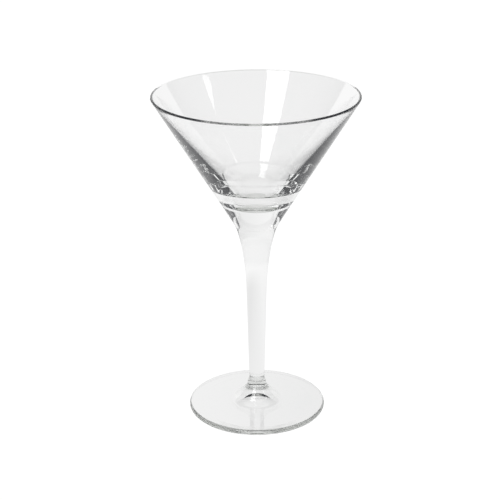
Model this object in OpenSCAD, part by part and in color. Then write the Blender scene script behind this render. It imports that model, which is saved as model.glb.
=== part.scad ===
// Stemmed martini glass: a conical bowl, a drawn stem and a pressed foot, fused face to face.
// Millimetres, +Z up. The origin is the centre of the ring that the foot rests on.

/* [Glass] */
// Height from the resting face to the top of the lip
glass_h = 180; // [170:1:190]
// Height of the fused joint between the stem and the bowl
bowl_joint_z = 108; // [105:0.5:110]
// Height of the fused joint between the foot and the stem
foot_joint_z = 16.5; // [16:0.5:18]

/* [Bowl] */
// Diameter across the outside of the lip
rim_d = 109.8; // [106:0.2:112]
// Angle between the wall of the cone and the axis
cone_angle = 31.5; // [30.5:0.1:32.2]
// Wall thickness at the lip
lip_wall = 1.3; // [1:0.1:1.6]
// Wall thickness at the shoulder, where the conical part of the cavity ends
shoulder_wall = 5.4; // [4.4:0.1:6]
// How far the inside of the wall is hollowed out halfway between lip and shoulder
wall_hollow = 1.0; // [0.6:0.1:1.1]
// Depth of the shoulder below the lip
shoulder_depth = 47; // [44:0.5:49]
// Width of the shoulder's inward step
shoulder_step = 0.9; // [0.4:0.1:1.2]
// Depth of the cavity's floor below the lip
cavity_depth = 58.7; // [57:0.1:60]
// Angle between the wall of the cavity's tip and the axis
tip_angle = 33; // [28:1:38]
// Radius between the wall of the tip and the floor
tip_corner_r = 12; // [8:1:13]

/* [Stem] */
// Diameter of the stem just above the foot
stem_low_d = 8.4; // [7:0.2:10]
// Growth of the stem's radius per millimetre of height
stem_taper = 0.0235; // [0.015:0.0005:0.03]
// Height at which the stem starts to flare towards the bowl
flare_z = 60; // [56:1:66]
// Radius that the flare has gained where the stem meets the bowl
flare_gain = 4.8; // [4.2:0.1:5.4]
// Softness of the change from the flare to the cone
flare_blend = 0.8; // [0.4:0.1:2]

/* [Foot] */
// Diameter of the foot
foot_d = 75.6; // [72:0.2:80]
// Thickness at the rounded edge of the foot
foot_edge_h = 3.0; // [2.6:0.1:3.6]
// Slope of the foot's upper face
foot_slope = 4.5; // [3:0.5:6]
// Angle between the neck of the foot and the axis
neck_angle = 44; // [38:1:50]
// Diameter of the bead where the stem is stuck on
bead_d = 10.2; // [9.6:0.2:11]
// Height of the bead's widest ring
bead_z = 12.8; // [12:0.2:13.4]
// Radius between the neck and the upper face
neck_fillet_r = 9; // [6:0.5:11]
// Rise of the shallow hollow under the foot
hollow_h = 1.2; // [0.6:0.1:1.6]
// Inner radius of the flat ring that the foot rests on
rest_ring_r = 31; // [28:0.5:33]
// Extra rise of the rounded kick pressed up under the neck
kick_h = 4.8; // [3.6:0.1:5.2]
// Radius of the kick where it leaves the shallow hollow
kick_r = 14; // [12:0.5:16]

/* [Hidden] */
$fn = 96;
glass_colour = [0.9, 0.94, 0.95, 0.45];
step_z = 1.5; // height of one step along a curved outline
arc_steps = 16;
shoulder_h = 1.2; // height of the shoulder's S-curve
straight_z = bowl_joint_z + 24; // above this height the outside of the cone is straight
rim_r = rim_d / 2;
foot_r = foot_d / 2;
edge_r = foot_edge_h / 2;
bead_r = bead_d / 2;
lip_r = lip_wall / 2;

// Point at an angle on a circle about [cr, cz]
function on_circle(cr, cz, radius, a) = [cr + radius * cos(a), cz + radius * sin(a)];

// Points of an arc from angle a0 to angle a1
function arc(cr, cz, radius, a0, a1) =
    [for (i = [0 : arc_steps]) on_circle(cr, cz, radius, a0 + (a1 - a0) * i / arc_steps)];

// Lip: a half-round bead whose outermost point is the rim diameter
lip_cr = rim_r - lip_r;
lip_cz = glass_h - lip_r;
outer_start = on_circle(lip_cr, lip_cz, lip_r, -cone_angle);

// Radius of the outside of the cone at a height
function cone_r(z) = outer_start[0] - (outer_start[1] - z) * tan(cone_angle);

// Radius of the stem's own outline at a height: a light taper, and above flare_z a cubic flare
// that runs on straight above the joint
flare_span = bowl_joint_z - flare_z;
function flare_r(z) = flare_gain * pow(min(max(z - flare_z, 0), flare_span) / flare_span, 3)
    + 3 * flare_gain / flare_span * max(z - bowl_joint_z, 0);
function drawn_r(z) = stem_low_d / 2 + stem_taper * (z - foot_joint_z) + flare_r(z);

// Outside radius of bowl and stem: the larger of the two outlines, with a soft change between them
function outer_r(z) =
    (cone_r(z) + drawn_r(z) + sqrt(pow(cone_r(z) - drawn_r(z), 2) + pow(flare_blend, 2))) / 2;

// Cavity: a hollowed conical wall, a shoulder that steps in, a narrower tip and a small flat floor
floor_z = glass_h - cavity_depth;
shoulder_z = glass_h - shoulder_depth;
inner_start = on_circle(lip_cr, lip_cz, lip_r, 180 - cone_angle);
shoulder_r = cone_r(shoulder_z) - shoulder_wall / cos(cone_angle);
tip_r = shoulder_r - shoulder_step - shoulder_h * tan(tip_angle);
corner_cz = floor_z + tip_corner_r;
corner_cr = tip_r - (shoulder_z - shoulder_h - corner_cz) * tan(tip_angle) - tip_corner_r / cos(tip_angle);

// Point of the conical wall at a share of the way from the lip down to the shoulder
function wall_point(share) = [
    inner_start[0] + (shoulder_r - inner_start[0]) * share
        + 4 * wall_hollow * share * (1 - share) / cos(cone_angle),
    inner_start[1] + (shoulder_z - inner_start[1]) * share];

// Point of the shoulder at a share of its height: an S-curve between the wall and the tip
function shoulder_point(share) = [
    shoulder_r - shoulder_h * tan(tip_angle) * share - shoulder_step * pow(share, 2) * (3 - 2 * share),
    shoulder_z - shoulder_h * share];

// Heights from z0 to z1 in even steps
function heights(z0, z1) =
    let (n = ceil((z1 - z0) / step_z)) [for (i = [0 : n]) z0 + (z1 - z0) * i / n];

// Foot: points where its outline changes
edge_cr = foot_r - edge_r;
top_start = on_circle(edge_cr, edge_r, edge_r, 90 - foot_slope);
neck_start = [bead_r, bead_z];
// The neck's fillet touches the sloping upper face and the straight neck
function top_z(r) = top_start[1] + (top_start[0] - r) * tan(foot_slope);
function fillet_cz(r) = top_z(r) + neck_fillet_r / cos(foot_slope);
function neck_gap(r) = (r - neck_start[0]) * cos(neck_angle)
    - (neck_start[1] - fillet_cz(r)) * sin(neck_angle) - neck_fillet_r;
gap_at_0 = neck_gap(0);
fillet_cr = -gap_at_0 / (neck_gap(1) - gap_at_0);

// Height of the foot's underside at a radius: the shallow hollow and the kick in its middle
function underside_z(r) = hollow_h * (1 - pow(r / rest_ring_r, 2))
    + kick_h * pow(1 - pow(min(r / kick_r, 1), 2), 2);

module bowl() {
    outside = [for (z = heights(bowl_joint_z, straight_z)) [outer_r(z), z]];
    lip = arc(lip_cr, lip_cz, lip_r, -cone_angle, 180 - cone_angle);
    wall = [for (i = [1 : arc_steps]) wall_point(i / arc_steps)];
    shoulder = [for (i = [1 : arc_steps]) shoulder_point(i / arc_steps)];
    corner = arc(corner_cr, corner_cz, tip_corner_r, -tip_angle, -90);
    color(glass_colour)
        rotate_extrude()
            polygon(concat([[0, bowl_joint_z]], outside, lip, wall, shoulder, corner, [[0, floor_z]]));
}

module stem() {
    outside = [for (z = heights(foot_joint_z, bowl_joint_z)) [outer_r(z), z]];
    color(glass_colour)
        rotate_extrude()
            polygon(concat([[0, foot_joint_z]], outside, [[0, bowl_joint_z]]));
}

module foot() {
    joint_r = outer_r(foot_joint_z);
    kick = [for (i = [0 : arc_steps - 1])
        let (r = kick_r * i / arc_steps) [r, underside_z(r)]];
    hollow = [for (i = [0 : arc_steps])
        let (r = kick_r + (rest_ring_r - kick_r) * i / arc_steps) [r, underside_z(r)]];
    edge = arc(edge_cr, edge_r, edge_r, -90, 90 - foot_slope);
    fillet = arc(fillet_cr, fillet_cz(fillet_cr), neck_fillet_r, 270 - foot_slope, 180 + neck_angle);
    bead = [for (i = [0 : arc_steps])
        let (a = 90 * i / arc_steps)
            [joint_r + (bead_r - joint_r) * cos(a), bead_z + (foot_joint_z - bead_z) * sin(a)]];
    color(glass_colour)
        rotate_extrude()
            polygon(concat(kick, hollow, edge, fillet, bead, [[0, foot_joint_z]]));
}

bowl();
stem();
foot();
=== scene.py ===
import math

import bpy
from mathutils import Matrix, Vector


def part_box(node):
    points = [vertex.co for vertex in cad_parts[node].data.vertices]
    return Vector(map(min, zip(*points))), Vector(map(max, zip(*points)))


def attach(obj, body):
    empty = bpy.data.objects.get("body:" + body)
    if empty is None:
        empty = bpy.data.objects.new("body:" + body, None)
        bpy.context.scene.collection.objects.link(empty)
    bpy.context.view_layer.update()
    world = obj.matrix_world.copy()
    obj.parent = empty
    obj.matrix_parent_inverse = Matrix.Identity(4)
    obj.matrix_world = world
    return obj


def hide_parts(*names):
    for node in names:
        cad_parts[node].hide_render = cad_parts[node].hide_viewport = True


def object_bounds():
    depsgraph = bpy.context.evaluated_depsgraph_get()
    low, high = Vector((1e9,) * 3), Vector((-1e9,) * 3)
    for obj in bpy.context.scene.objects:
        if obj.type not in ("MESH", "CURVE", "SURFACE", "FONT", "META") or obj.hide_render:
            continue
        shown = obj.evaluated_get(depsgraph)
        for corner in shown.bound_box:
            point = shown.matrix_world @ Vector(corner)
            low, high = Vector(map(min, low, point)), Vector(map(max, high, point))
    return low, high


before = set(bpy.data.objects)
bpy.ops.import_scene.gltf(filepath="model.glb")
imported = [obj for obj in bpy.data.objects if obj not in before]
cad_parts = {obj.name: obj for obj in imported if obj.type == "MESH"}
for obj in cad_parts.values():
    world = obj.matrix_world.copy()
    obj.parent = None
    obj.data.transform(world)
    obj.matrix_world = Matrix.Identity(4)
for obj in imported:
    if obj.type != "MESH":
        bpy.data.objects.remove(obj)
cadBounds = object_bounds()
mm = 0.001

bowlLow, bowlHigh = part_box("bowl")
stemLow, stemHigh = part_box("stem")
footLow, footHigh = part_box("foot")
glassHeight = cadBounds[1].z - cadBounds[0].z
print("frame loaded:", ", ".join(sorted(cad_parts)))


# camera, in shares of the glass's height
cameraSet = {
    "lens": 100,
    "sensor": 36,
    "clipStart": 0.01,
    "back": 3.891,
    "up": 2.046,
    "aside": -0.0194,
    "pitch": 21.436,
    "roll": -0.3,
}


def addCamera(c):
    data = bpy.data.cameras.new("studioCamera")
    data.lens = c["lens"]
    data.sensor_width = c["sensor"]
    data.clip_start = c["clipStart"]
    cam = bpy.data.objects.new("studioCamera", data)
    bpy.context.scene.collection.objects.link(cam)
    place = Matrix.Translation(Vector((c["aside"], -c["back"], c["up"])) * glassHeight)
    tilt = Matrix.Rotation(math.radians(90 - c["pitch"]), 4, "X")
    roll = Matrix.Rotation(math.radians(c["roll"]), 4, "Z")
    cam.matrix_world = place @ tilt @ roll
    bpy.context.scene.camera = cam


addCamera(cameraSet)
print("camera placed")


# node helpers
def addNode(tree, kind, x, y, **values):
    node = tree.nodes.new(kind)
    node.location = (x, y)
    for name, value in values.items():
        setattr(node, name, value)
    return node


def addRange(tree, x, y, fromMin, fromMax, toMin=0, toMax=1, **values):
    node = addNode(tree, "ShaderNodeMapRange", x, y, **values)
    node.inputs["From Min"].default_value = fromMin
    node.inputs["From Max"].default_value = fromMax
    node.inputs["To Min"].default_value = toMin
    node.inputs["To Max"].default_value = toMax
    return node


def newGroup(name, inputs, outputs):
    group = bpy.data.node_groups.new(name, "ShaderNodeTree")
    for label, kind, value in inputs:
        socket = group.interface.new_socket(label, in_out="INPUT", socket_type=kind)
        socket.default_value = value
    for label, kind in outputs:
        group.interface.new_socket(label, in_out="OUTPUT", socket_type=kind)
    start = addNode(group, "NodeGroupInput", -900, 0)
    end = addNode(group, "NodeGroupOutput", 700, 0)
    return group, start, end


# finger marks and wiping streaks, as roughness and a very faint tint
def makeHandlingGroup():
    group, start, end = newGroup(
        "handlingMarks",
        [
            ("Mark Scale", "NodeSocketFloat", 60.0),
            ("Mark Roughness", "NodeSocketFloat", 0.01),
            ("Glass Tint", "NodeSocketColor", (1, 1, 1, 1)),
        ],
        [("Roughness", "NodeSocketFloat"), ("Color", "NodeSocketColor")],
    )
    links = group.links
    coord = addNode(group, "ShaderNodeTexCoord", -900, 300)
    noise = addNode(group, "ShaderNodeTexNoise", -650, 250)
    noise.inputs["Detail"].default_value = 3
    ramp = addNode(group, "ShaderNodeValToRGB", -420, 250)
    ramp.color_ramp.elements[0].position = 0.55
    ramp.color_ramp.elements[1].position = 0.8
    scale = addNode(group, "ShaderNodeMath", -100, 200, operation="MULTIPLY")
    tint = addNode(group, "ShaderNodeMix", 200, -100, data_type="RGBA")
    tint.inputs[7].default_value = (0.985, 0.99, 0.99, 1)
    links.new(coord.outputs["Object"], noise.inputs["Vector"])
    links.new(start.outputs["Mark Scale"], noise.inputs["Scale"])
    links.new(noise.outputs["Fac"], ramp.inputs["Fac"])
    links.new(ramp.outputs["Color"], scale.inputs[0])
    links.new(start.outputs["Mark Roughness"], scale.inputs[1])
    links.new(scale.outputs["Value"], end.inputs["Roughness"])
    links.new(ramp.outputs["Color"], tint.inputs[0])
    links.new(start.outputs["Glass Tint"], tint.inputs[6])
    links.new(tint.outputs[2], end.inputs["Color"])
    return group


# slow waves left in the surface by pressing and fire polishing, as a height
def makeRippleGroup():
    group, start, end = newGroup(
        "pressedRipple",
        [("Wave Scale", "NodeSocketFloat", 60.0), ("Stretch Up", "NodeSocketFloat", 1.0)],
        [("Height", "NodeSocketFloat")],
    )
    links = group.links
    coord = addNode(group, "ShaderNodeTexCoord", -900, 300)
    stretch = addNode(group, "ShaderNodeCombineXYZ", -700, 60)
    stretch.inputs["X"].default_value = 1
    stretch.inputs["Y"].default_value = 1
    spread = addNode(group, "ShaderNodeVectorMath", -500, 250, operation="MULTIPLY")
    noise = addNode(group, "ShaderNodeTexNoise", -300, 250)
    noise.inputs["Detail"].default_value = 1
    links.new(start.outputs["Stretch Up"], stretch.inputs["Z"])
    links.new(coord.outputs["Object"], spread.inputs[0])
    links.new(stretch.outputs["Vector"], spread.inputs[1])
    links.new(spread.outputs["Vector"], noise.inputs["Vector"])
    links.new(start.outputs["Wave Scale"], noise.inputs["Scale"])
    links.new(noise.outputs["Fac"], end.inputs["Height"])
    return group


handlingMarks = makeHandlingGroup()
pressedRipple = makeRippleGroup()


# the grey-green that shows where light runs a long way through the glass
depthColor = (0.16, 0.2, 0.14, 1)


def addDepth(tree, density):
    depth = addNode(tree, "ShaderNodeVolumeAbsorption", 0, -400)
    depth.inputs["Color"].default_value = depthColor
    depth.inputs["Density"].default_value = density
    tree.links.new(depth.outputs["Volume"], tree.nodes["Material Output"].inputs["Volume"])


def makeGlass(name, g):
    material = bpy.data.materials.new(name)
    material.use_nodes = True
    tree = material.node_tree
    shader = tree.nodes["Principled BSDF"]
    shader.inputs["Transmission Weight"].default_value = 1
    shader.inputs["IOR"].default_value = g["ior"]
    marks = addNode(tree, "ShaderNodeGroup", -600, 200, node_tree=handlingMarks)
    marks.inputs["Mark Scale"].default_value = g["markScale"]
    marks.inputs["Mark Roughness"].default_value = g["markRough"]
    marks.inputs["Glass Tint"].default_value = g["tint"]
    wave = addNode(tree, "ShaderNodeGroup", -600, -150, node_tree=pressedRipple)
    wave.inputs["Wave Scale"].default_value = g["waveScale"]
    wave.inputs["Stretch Up"].default_value = g["waveStretch"]
    bump = addNode(tree, "ShaderNodeBump", -300, -150)
    bump.inputs["Strength"].default_value = 1
    bump.inputs["Distance"].default_value = g["waveHeight"]
    tree.links.new(marks.outputs["Color"], shader.inputs["Base Color"])
    tree.links.new(marks.outputs["Roughness"], shader.inputs["Roughness"])
    tree.links.new(wave.outputs["Height"], bump.inputs["Height"])
    tree.links.new(bump.outputs["Normal"], shader.inputs["Normal"])
    addDepth(tree, g["density"])
    return material


# where two pieces are fused, light goes straight on
def makeFusedFace(name, density):
    material = bpy.data.materials.new(name)
    material.use_nodes = True
    tree = material.node_tree
    shader = tree.nodes["Principled BSDF"]
    shader.inputs["Transmission Weight"].default_value = 1
    shader.inputs["IOR"].default_value = 1.0
    shader.inputs["Roughness"].default_value = 0
    marks = addNode(tree, "ShaderNodeGroup", -600, 200, node_tree=handlingMarks)
    marks.inputs["Mark Roughness"].default_value = 0
    tree.links.new(marks.outputs["Color"], shader.inputs["Base Color"])
    addDepth(tree, density)
    return material


bowlLook = {
    "ior": 1.52,
    "tint": (1, 1, 1, 1),
    "density": 1.2,
    "markScale": 55,
    "markRough": 0.012,
    "waveScale": 70,
    "waveStretch": 0.7,
    "waveHeight": 0.000004,
}
stemLook = {
    "ior": 1.52,
    "tint": (1, 1, 1, 1),
    "density": 1.2,
    "markScale": 90,
    "markRough": 0.012,
    "waveScale": 120,
    "waveStretch": 0.25,
    "waveHeight": 0.00002,
}
footLook = {
    "ior": 1.52,
    "tint": (1, 1, 1, 1),
    "density": 5,
    "markScale": 55,
    "markRough": 0.012,
    "waveScale": 80,
    "waveStretch": 1,
    "waveHeight": 0.00001,
}
lipLook = dict(bowlLook, ior=1.12, waveHeight=0)  # the fire-polished lip
bowlGlass = makeGlass("bowlGlass", bowlLook)
lipGlass = makeGlass("lipGlass", lipLook)
stemGlass = makeGlass("stemGlass", stemLook)
footGlass = makeGlass("footGlass", footLook)
upperFused = makeFusedFace("upperFused", bowlLook["density"])
footFused = makeFusedFace("footFused", footLook["density"])
print("glass materials ready")


# edit-mode helpers
mergeDistance = 0.002 * mm
smoothAngle = 50
faceReach = 0.02 * mm  # how near to a joint's height a joint face lies


def deselectAll():
    if bpy.context.object and bpy.context.object.mode != "OBJECT":
        bpy.ops.object.mode_set(mode="OBJECT")
    bpy.ops.object.select_all(action="DESELECT")


def selectFaces(piece, test):
    bpy.ops.object.mode_set(mode="EDIT")
    bpy.ops.mesh.select_mode(type="FACE")
    bpy.ops.mesh.select_all(action="DESELECT")
    bpy.ops.object.mode_set(mode="OBJECT")
    for face in piece.data.polygons:
        face.select = test(face)
    bpy.ops.object.mode_set(mode="EDIT")


# a stretch of an arc as (radius, height) points, angles in degrees
def arcPoints(centreR, centreZ, size, start, end, steps):
    found = []
    for i in range(steps + 1):
        a = math.radians(start + (end - start) * i / steps)
        found.append((centreR + size * math.cos(a), centreZ + size * math.sin(a)))
    return found


# long straight stretches get rings near both ends, so the smooth shading doesn't spread along them
def withSupportRings(points, longest, near):
    found = [points[0]]
    for here in points[1:]:
        last = found[-1]
        length = math.hypot(here[0] - last[0], here[1] - last[1])
        if length > longest:
            count = max(1, round(length / longest))
            shares = [near / length]
            for i in range(1, count):
                shares.append(i / count)
            shares.append(1 - near / length)
            for share in shares:
                r = last[0] + (here[0] - last[0]) * share
                z = last[1] + (here[1] - last[1]) * share
                found.append((r, z))
        if length > 1e-4:
            found.append(here)
    return found


# one vertex is drawn out along the profile, in millimetres, and the line is spun about the upright axis
def turnProfile(name, points, segments):
    deselectAll()
    first = points[0]
    bpy.ops.mesh.primitive_plane_add(size=mm, location=(first[0] * mm, 0, first[1] * mm))
    piece = bpy.context.object
    piece.name = name
    bpy.ops.object.transform_apply(location=True, rotation=True, scale=True)
    bpy.ops.object.mode_set(mode="EDIT")
    bpy.ops.mesh.select_mode(type="VERT")
    bpy.ops.mesh.select_all(action="SELECT")
    bpy.ops.mesh.merge(type="CENTER")
    for last, here in zip(points, points[1:]):
        step = ((here[0] - last[0]) * mm, 0, (here[1] - last[1]) * mm)
        bpy.ops.mesh.extrude_vertices_move(TRANSFORM_OT_translate={"value": step})
    bpy.ops.mesh.select_all(action="SELECT")
    bpy.ops.mesh.spin(steps=segments, angle=math.tau, center=(0, 0, 0), axis=(0, 0, 1))
    bpy.ops.mesh.select_all(action="SELECT")
    bpy.ops.mesh.remove_doubles(threshold=mergeDistance)
    bpy.ops.mesh.normals_make_consistent(inside=False)
    bpy.ops.object.mode_set(mode="OBJECT")
    return piece


def assignSlot(piece, index):
    piece.active_material_index = index
    bpy.ops.object.material_slot_assign()
    bpy.ops.object.mode_set(mode="OBJECT")


def finishPiece(piece, node, glass, fused, jointHeights):
    piece.data.materials.append(glass)
    piece.data.materials.append(fused)
    for height in jointHeights:
        selectFaces(piece, lambda f: abs(f.center.z - height) < faceReach and abs(f.normal.z) > 0.999)
        assignSlot(piece, 1)
    deselectAll()
    piece.select_set(True)
    bpy.context.view_layer.objects.active = piece
    bpy.ops.object.shade_smooth_by_angle(angle=math.radians(smoothAngle))
    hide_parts(node)
    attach(piece, "root")
    print(piece.name, "made:", len(piece.data.polygons), "faces")


# the drawn outside, shared by the bowl and the stem, in millimetres
outsideSet = {
    "topHeight": bowlHigh.z / mm,
    "bowlJoint": bowlLow.z / mm,
    "footJoint": footHigh.z / mm,
    "rimRadius": min(bowlHigh.x, bowlHigh.y) / mm,
    "coneAngle": 31.5,
    "lipWall": 1.3,
    "stemLow": 8.4,
    "stemTaper": 0.0235,
    "flareStart": 60,
    "flareGain": 4.8,
    "flareBlend": 0.8,
}


def coneRadius(z, s=outsideSet):
    lip = s["lipWall"] / 2
    a = math.radians(s["coneAngle"])
    startR = s["rimRadius"] - lip + lip * math.cos(a)
    startZ = s["topHeight"] - lip - lip * math.sin(a)
    return startR - (startZ - z) * math.tan(a)


def drawnRadius(z, s=outsideSet):
    span = s["bowlJoint"] - s["flareStart"]
    share = min(max(z - s["flareStart"], 0), span) / span
    above = max(z - s["bowlJoint"], 0)
    taper = s["stemLow"] / 2 + s["stemTaper"] * (z - s["footJoint"])
    return taper + s["flareGain"] * (share**3 + 3 * above / span)


def outsideRadius(z, s=outsideSet):
    cone = coneRadius(z)
    drawn = drawnRadius(z)
    return (cone + drawn + math.sqrt((cone - drawn) ** 2 + s["flareBlend"] ** 2)) / 2


bowlSet = {
    "segments": 224,
    "shoulderWall": 5.4,
    "shoulderDepth": 47,
    "shoulderStep": 0.9,
    "shoulderHeight": 1.2,
    "wallHollow": 1.17,
    "cavityDepth": 58.7,
    "tipAngle": 33,
    "tipCorner": 12,
    "jointGap": 0.01,
    "lipHeight": 0.97,  # of the fire-polished part of the lip
    "waveSize": 30,  # of the slow waves in the inner wall, mm
    "waveDepth": 0.05,
    "waveFrom": 120,
    "waveTo": 178,
    "waveFade": 14,
    "outsideStep": 0.6,
    "straightFrom": 134,  # above this height the outside is a plain cone
    "lipSteps": 18,
    "wallSteps": 24,
    "shoulderSteps": 16,
    "cornerSteps": 28,
    "longest": 4,
    "support": 0.15,
}


def bowlProfile(b, s):
    lip = s["lipWall"] / 2
    a = s["coneAngle"]
    lipR = s["rimRadius"] - lip
    lipZ = s["topHeight"] - lip
    jointZ = s["bowlJoint"] + b["jointGap"]
    jointR = outsideRadius(s["bowlJoint"])
    points = [(0, jointZ), (jointR, jointZ)]
    z = s["bowlJoint"] + b["outsideStep"]
    while z < b["straightFrom"]:
        points.append((outsideRadius(z), z))
        z += b["outsideStep"]
    points += arcPoints(lipR, lipZ, lip, -a, 180 - a, b["lipSteps"])
    # inner wall from the lip down to the shoulder, slightly hollowed
    startR, startZ = points[-1]
    shoulderZ = s["topHeight"] - b["shoulderDepth"]
    shoulderR = coneRadius(shoulderZ) - b["shoulderWall"] / math.cos(math.radians(a))
    for i in range(1, b["wallSteps"] + 1):
        share = i / b["wallSteps"]
        hollow = b["wallHollow"] * 4 * share * (1 - share)
        r = startR + (shoulderR - startR) * share + hollow
        points.append((r, startZ + (shoulderZ - startZ) * share))
    # the shoulder left by the plunger, then the rounded tip
    tipAngle = b["tipAngle"]
    slope = math.tan(math.radians(tipAngle))
    for i in range(1, b["shoulderSteps"] + 1):
        share = i / b["shoulderSteps"]
        smooth = share * share * (3 - 2 * share)
        drop = b["shoulderHeight"] * share
        points.append((shoulderR - slope * drop - b["shoulderStep"] * smooth, shoulderZ - drop))
    floorZ = s["topHeight"] - b["cavityDepth"]
    cornerZ = floorZ + b["tipCorner"]
    tipR, tipZ = points[-1]
    cornerR = tipR - (tipZ - cornerZ) * slope - b["tipCorner"] / math.cos(math.radians(tipAngle))
    points += arcPoints(cornerR, cornerZ, b["tipCorner"], -tipAngle, -90, b["cornerSteps"])
    points.append((0, floorZ))
    return points


# the inner wall of a pressed bowl is never quite even
def waveInnerWall(piece, b):
    group = piece.vertex_groups.new(name="innerWall")
    for v in piece.data.vertices:
        r = math.hypot(v.co.x, v.co.y) / mm
        z = v.co.z / mm
        inside = r < outsideRadius(z) - 1.0
        if inside and b["waveFrom"] < z < b["waveTo"]:
            group.add([v.index], min(1, (b["waveTo"] - z) / b["waveFade"]), "REPLACE")
    texture = bpy.data.textures.new("innerWallWaves", type="CLOUDS")
    texture.noise_scale = b["waveSize"] * mm
    texture.noise_depth = 1
    waves = piece.modifiers.new("innerWallWaves", "DISPLACE")
    waves.texture = texture
    waves.texture_coords = "LOCAL"
    waves.vertex_group = "innerWall"
    waves.strength = b["waveDepth"] * mm * 2
    waves.mid_level = 0.5
    deselectAll()
    piece.select_set(True)
    bpy.context.view_layer.objects.active = piece
    bpy.ops.object.modifier_apply(modifier=waves.name)


bowlOutline = withSupportRings(bowlProfile(bowlSet, outsideSet), bowlSet["longest"], bowlSet["support"])
bowl = turnProfile("bowlGlassPiece", bowlOutline, bowlSet["segments"])
waveInnerWall(bowl, bowlSet)
finishPiece(bowl, "bowl", bowlGlass, upperFused, [bowlLow.z + bowlSet["jointGap"] * mm])
bowl.data.materials.append(lipGlass)
selectFaces(bowl, lambda f: f.center.z > bowlHigh.z - bowlSet["lipHeight"] * mm)
assignSlot(bowl, 2)


stemSet = {
    "segments": 128,
    "jointGap": 0.01,
    "ring": 1.5,  # height of one step along the outline
    "longest": 3,
    "support": 0.15,
}


def stemProfile(t, s):
    low = s["footJoint"] + t["jointGap"]
    high = s["bowlJoint"] - t["jointGap"]
    points = [(0, low), (outsideRadius(low), low)]
    count = round((high - low) / t["ring"])
    for i in range(1, count + 1):
        z = low + (high - low) * i / count
        points.append((outsideRadius(z), z))
    points.append((0, high))
    return points


stemOutline = withSupportRings(stemProfile(stemSet, outsideSet), stemSet["longest"], stemSet["support"])
stem = turnProfile("stemGlassPiece", stemOutline, stemSet["segments"])
stemGap = stemSet["jointGap"] * mm
stemJoints = [stemLow.z + stemGap, stemHigh.z - stemGap]
finishPiece(stem, "stem", stemGlass, upperFused, stemJoints)


footSet = {
    "segments": 224,
    "radius": min(footHigh.x, footHigh.y) / mm,
    "edgeHeight": 3.0,
    "slope": 4.5,
    "neckAngle": 44,
    "beadRadius": 5.1,
    "beadHeight": 12.8,
    "filletRadius": 9,
    "hollow": 1.2,
    "kickHeight": 4.8,  # of the rounded kick under the neck, above the shallow hollow
    "kickRadius": 14,
    "restRadius": 31,
    "jointGap": 0.01,
    "kickSteps": 24,
    "hollowSteps": 16,
    "arcSteps": 24,
    "beadSteps": 16,
    "longest": 4,
    "support": 0.15,
}


def footProfile(f, s):
    edge = f["edgeHeight"] / 2
    edgeR = f["radius"] - edge
    top = math.radians(90 - f["slope"])
    topR = edgeR + edge * math.cos(top)
    topZ = edge + edge * math.sin(top)
    slope = math.radians(f["slope"])
    neck = math.radians(f["neckAngle"])

    def filletZ(r):
        return topZ + (topR - r) * math.tan(slope) + f["filletRadius"] / math.cos(slope)

    def gap(r):
        across = (r - f["beadRadius"]) * math.cos(neck)
        down = (f["beadHeight"] - filletZ(r)) * math.sin(neck)
        return across - down - f["filletRadius"]

    def undersideZ(r):
        kick = 1 - min(r / f["kickRadius"], 1) ** 2
        return f["hollow"] * (1 - (r / f["restRadius"]) ** 2) + f["kickHeight"] * kick**2

    points = []
    for i in range(f["kickSteps"]):
        r = f["kickRadius"] * i / f["kickSteps"]
        points.append((r, undersideZ(r)))
    for i in range(f["hollowSteps"] + 1):
        r = f["kickRadius"] + (f["restRadius"] - f["kickRadius"]) * i / f["hollowSteps"]
        points.append((r, undersideZ(r)))
    points += arcPoints(edgeR, edge, edge, -90, 90 - f["slope"], f["arcSteps"])
    # the fillet touches the sloping upper face and the straight neck
    filletR = gap(0) / (gap(0) - gap(1))
    filletStart = 270 - f["slope"]
    filletEnd = 180 + f["neckAngle"]
    points += arcPoints(filletR, filletZ(filletR), f["filletRadius"], filletStart, filletEnd, f["arcSteps"])
    jointZ = s["footJoint"] - f["jointGap"]
    jointR = outsideRadius(s["footJoint"])
    for i in range(f["beadSteps"] + 1):
        a = math.radians(90 * i / f["beadSteps"])
        r = jointR + (f["beadRadius"] - jointR) * math.cos(a)
        points.append((r, f["beadHeight"] + (jointZ - f["beadHeight"]) * math.sin(a)))
    points.append((0, jointZ))
    return points


footOutline = withSupportRings(footProfile(footSet, outsideSet), footSet["longest"], footSet["support"])
foot = turnProfile("footGlassPiece", footOutline, footSet["segments"])
finishPiece(foot, "foot", footGlass, footFused, [footHigh.z - footSet["jointGap"] * mm])


# floor and studio: the far side is a tall pale wall, the near side is dark above a low pale strip
studioSet = {
    "floorSize": 12,
    "floorParts": 8,
    "floorDrop": 0.00005,
    "seenLight": 1.05,  # of the floor and wall as the camera sees them
    "paleLight": 0.95,  # of the wall as the glass sees it
    "rightLight": 0.83,  # of the wall towards the right
    "rightFrom": -0.3,
    "rightTo": 0.6,
    "darkLight": (0.03, 0.0315, 0.0375, 1),
    "farTop": 45,  # elevation in degrees where the far wall ends
    "nearTop": 3,
    "edgeSoft": 0.06,
    "turnFrom": 0.4,  # share of the far direction where the wall starts to rise
    "turnTo": 0.75,
    "capFrom": 56,  # elevation where the pale ceiling starts
    "capSoft": 6,
    "floorReach": 3,  # distance in metres that the next stops share out
    "floorLight": [(0.012, 0.96), (0.05, 0.95), (0.2, 0.95), (0.45, 0.92)],
    "sideReach": 0.08,  # painted shade: as the glass sees it, the floor close to the foot glows greyer on the right
    "leftShade": 0.96,
    "rightShade": 0.84,
    "shadeFrom": 0.2,  # distance where that painted shade starts to fade
    "shadeTo": 0.3,
    "bounces": 48,
}


def sineOf(degrees):
    return math.sin(math.radians(degrees))


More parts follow.
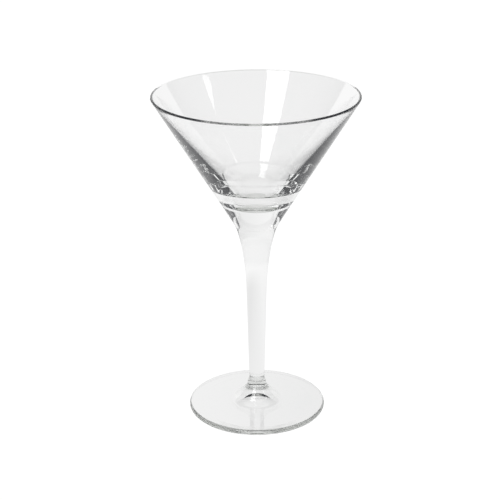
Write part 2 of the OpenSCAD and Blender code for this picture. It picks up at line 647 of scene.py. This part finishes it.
def makeFloorMaterial(s):
    material = bpy.data.materials.new("paleFloor")
    material.use_nodes = True
    tree = material.node_tree
    tree.nodes.clear()
    links = tree.links
    output = addNode(tree, "ShaderNodeOutputMaterial", 500, 0)
    glow = addNode(tree, "ShaderNodeEmission", 300, 0)
    path = addNode(tree, "ShaderNodeLightPath", -200, 0)
    level = addRange(tree, 50, 0, 0, 1, toMax=s["seenLight"])
    # painted light and shade: the floor's glow as the glass sees it, set by the distance from the foot
    coord = addNode(tree, "ShaderNodeTexCoord", -700, -300)
    away = addNode(tree, "ShaderNodeVectorMath", -500, -300, operation="LENGTH")
    reach = addRange(tree, -350, -300, 0, s["floorReach"])
    around = addNode(tree, "ShaderNodeValToRGB", -200, -300)
    stops = around.color_ramp.elements
    while len(stops) < len(s["floorLight"]):
        stops.new(0.5)
    for stop, (share, light) in zip(stops, s["floorLight"]):
        stop.position = share
        stop.color = (light, light, light, 1)
    # painted shade on the floor left and right of the foot, greyer on the right, seen only by rays from the
    # glass
    parts = addNode(tree, "ShaderNodeSeparateXYZ", -500, -600)
    side = addRange(tree, -350, -600, -s["sideReach"], s["sideReach"], s["leftShade"], s["rightShade"])
    fade = addRange(tree, -350, -850, s["shadeFrom"], s["shadeTo"])
    shade = addNode(tree, "ShaderNodeMix", -100, -600)
    shade.inputs[3].default_value = 1
    total = addNode(tree, "ShaderNodeMath", 60, -450, operation="MULTIPLY")
    links.new(coord.outputs["Object"], away.inputs[0])
    links.new(coord.outputs["Object"], parts.inputs["Vector"])
    links.new(away.outputs["Value"], reach.inputs["Value"])
    links.new(away.outputs["Value"], fade.inputs["Value"])
    links.new(reach.outputs["Result"], around.inputs["Fac"])
    links.new(parts.outputs["X"], side.inputs["Value"])
    links.new(fade.outputs["Result"], shade.inputs[0])
    links.new(side.outputs["Result"], shade.inputs[2])
    links.new(around.outputs["Color"], total.inputs[0])
    links.new(shade.outputs[0], total.inputs[1])
    # the camera sees the floor evenly bright; all other rays see the painted light and shade
    links.new(total.outputs["Value"], level.inputs["To Min"])
    links.new(path.outputs["Is Camera Ray"], level.inputs["Value"])
    links.new(level.outputs["Result"], glow.inputs["Strength"])
    links.new(glow.outputs["Emission"], output.inputs["Surface"])
    return material


def addFloor(s):
    deselectAll()
    bpy.ops.mesh.primitive_grid_add(
        x_subdivisions=s["floorParts"],
        y_subdivisions=s["floorParts"],
        size=s["floorSize"],
        location=(0, 0, cadBounds[0].z - s["floorDrop"]),
    )
    floor = bpy.context.object
    floor.name = "paleFloor"
    bpy.ops.object.transform_apply(location=True, rotation=True, scale=True)
    floor.data.materials.append(makeFloorMaterial(s))


def addWorld(s):
    world = bpy.data.worlds.new("paleStudio")
    bpy.context.scene.world = world
    world.use_nodes = True
    tree = world.node_tree
    tree.nodes.clear()
    links = tree.links
    output = addNode(tree, "ShaderNodeOutputWorld", 1000, 0)
    mix = addNode(tree, "ShaderNodeMixShader", 800, 0)
    path = addNode(tree, "ShaderNodeLightPath", 500, 300)
    seen = addNode(tree, "ShaderNodeBackground", 500, 0)
    seen.inputs["Color"].default_value = (1, 1, 1, 1)
    seen.inputs["Strength"].default_value = s["seenLight"]
    around = addNode(tree, "ShaderNodeBackground", 500, -200)
    coord = addNode(tree, "ShaderNodeTexCoord", -900, -200)
    parts = addNode(tree, "ShaderNodeSeparateXYZ", -700, -200)
    # pale below the top of the wall, and pale again above the edge of the ceiling
    lowTop = sineOf(s["nearTop"])
    highTop = sineOf(s["farTop"])
    wallTop = addRange(tree, -450, -350, s["turnFrom"], s["turnTo"], lowTop, highTop)
    below = addNode(tree, "ShaderNodeMath", -200, -200, operation="SUBTRACT")
    soft = s["edgeSoft"]
    edge = addRange(tree, 0, -200, -soft, soft, interpolation_type="SMOOTHSTEP")
    capLow = sineOf(s["capFrom"])
    capHigh = sineOf(s["capFrom"] + s["capSoft"])
    cap = addRange(tree, -200, -450, capLow, capHigh, interpolation_type="SMOOTHSTEP")
    either = addNode(tree, "ShaderNodeMath", 130, -400, operation="MAXIMUM")
    across = addRange(tree, -450, -650, s["rightFrom"], s["rightTo"], s["paleLight"], s["rightLight"])
    colors = addNode(tree, "ShaderNodeMix", 250, -200, data_type="RGBA")
    colors.inputs[6].default_value = s["darkLight"]
    links.new(coord.outputs["Generated"], parts.inputs["Vector"])
    links.new(parts.outputs["Y"], wallTop.inputs["Value"])
    links.new(parts.outputs["X"], across.inputs["Value"])
    links.new(parts.outputs["Z"], cap.inputs["Value"])
    links.new(parts.outputs["Z"], below.inputs[1])
    links.new(wallTop.outputs["Result"], below.inputs[0])
    links.new(below.outputs["Value"], edge.inputs["Value"])
    links.new(edge.outputs["Result"], either.inputs[0])
    links.new(cap.outputs["Result"], either.inputs[1])
    links.new(either.outputs["Value"], colors.inputs[0])
    links.new(across.outputs["Result"], colors.inputs[7])
    links.new(colors.outputs[2], around.inputs["Color"])
    links.new(path.outputs["Is Camera Ray"], mix.inputs["Fac"])
    links.new(around.outputs["Background"], mix.inputs[1])
    links.new(seen.outputs["Background"], mix.inputs[2])
    links.new(mix.outputs["Shader"], output.inputs["Surface"])


# soft boxes seen from the bowl at an azimuth and elevation, with their spread in degrees
boxHeight = 0.9  # share of the glass's height that the boxes are aimed at
softBoxes = {
    "windowBox": {
        "azimuth": -146,
        "elevation": 49,
        "wide": 32,
        "tall": 27,
        "turn": 4,
        "away": 1.3,
        "glow": 5,
    },
    "sideBox": {
        "azimuth": 107.5,
        "elevation": 42.3,
        "wide": 9,
        "tall": 3.6,
        "turn": 0,
        "away": 1.3,
        "glow": 3,
    },
}


def addSoftBoxes(boxes, centre):
    for name, b in boxes.items():
        az = math.radians(b["azimuth"])
        el = math.radians(b["elevation"])
        way = Vector((math.sin(az) * math.cos(el), math.cos(az) * math.cos(el), math.sin(el)))
        light = bpy.data.lights.new(name, "AREA")
        light.shape = "RECTANGLE"
        light.size = 2 * b["away"] * math.tan(math.radians(b["wide"] / 2) * math.cos(el))
        light.size_y = 2 * b["away"] * math.tan(math.radians(b["tall"] / 2))
        light.energy = b["glow"] * math.pi * light.size * light.size_y
        lamp = bpy.data.objects.new(name, light)
        bpy.context.scene.collection.objects.link(lamp)
        lamp.location = centre + way * b["away"]
        turn = Matrix.Rotation(math.radians(b["turn"]), 3, "Z")
        facing = way.to_track_quat("Z", "Y").to_matrix() @ turn
        lamp.rotation_euler = facing.to_euler()
        lamp.visible_camera = False
        lamp.visible_transmission = False


addFloor(studioSet)
addWorld(studioSet)
addSoftBoxes(softBoxes, Vector((0, 0, boxHeight * glassHeight)))
bpy.context.scene.view_settings.view_transform = "Standard"
lightPaths = bpy.context.scene.cycles
lightPaths.max_bounces = studioSet["bounces"]
lightPaths.transmission_bounces = studioSet["bounces"]
lightPaths.glossy_bounces = studioSet["bounces"]
print("floor and lights ready")
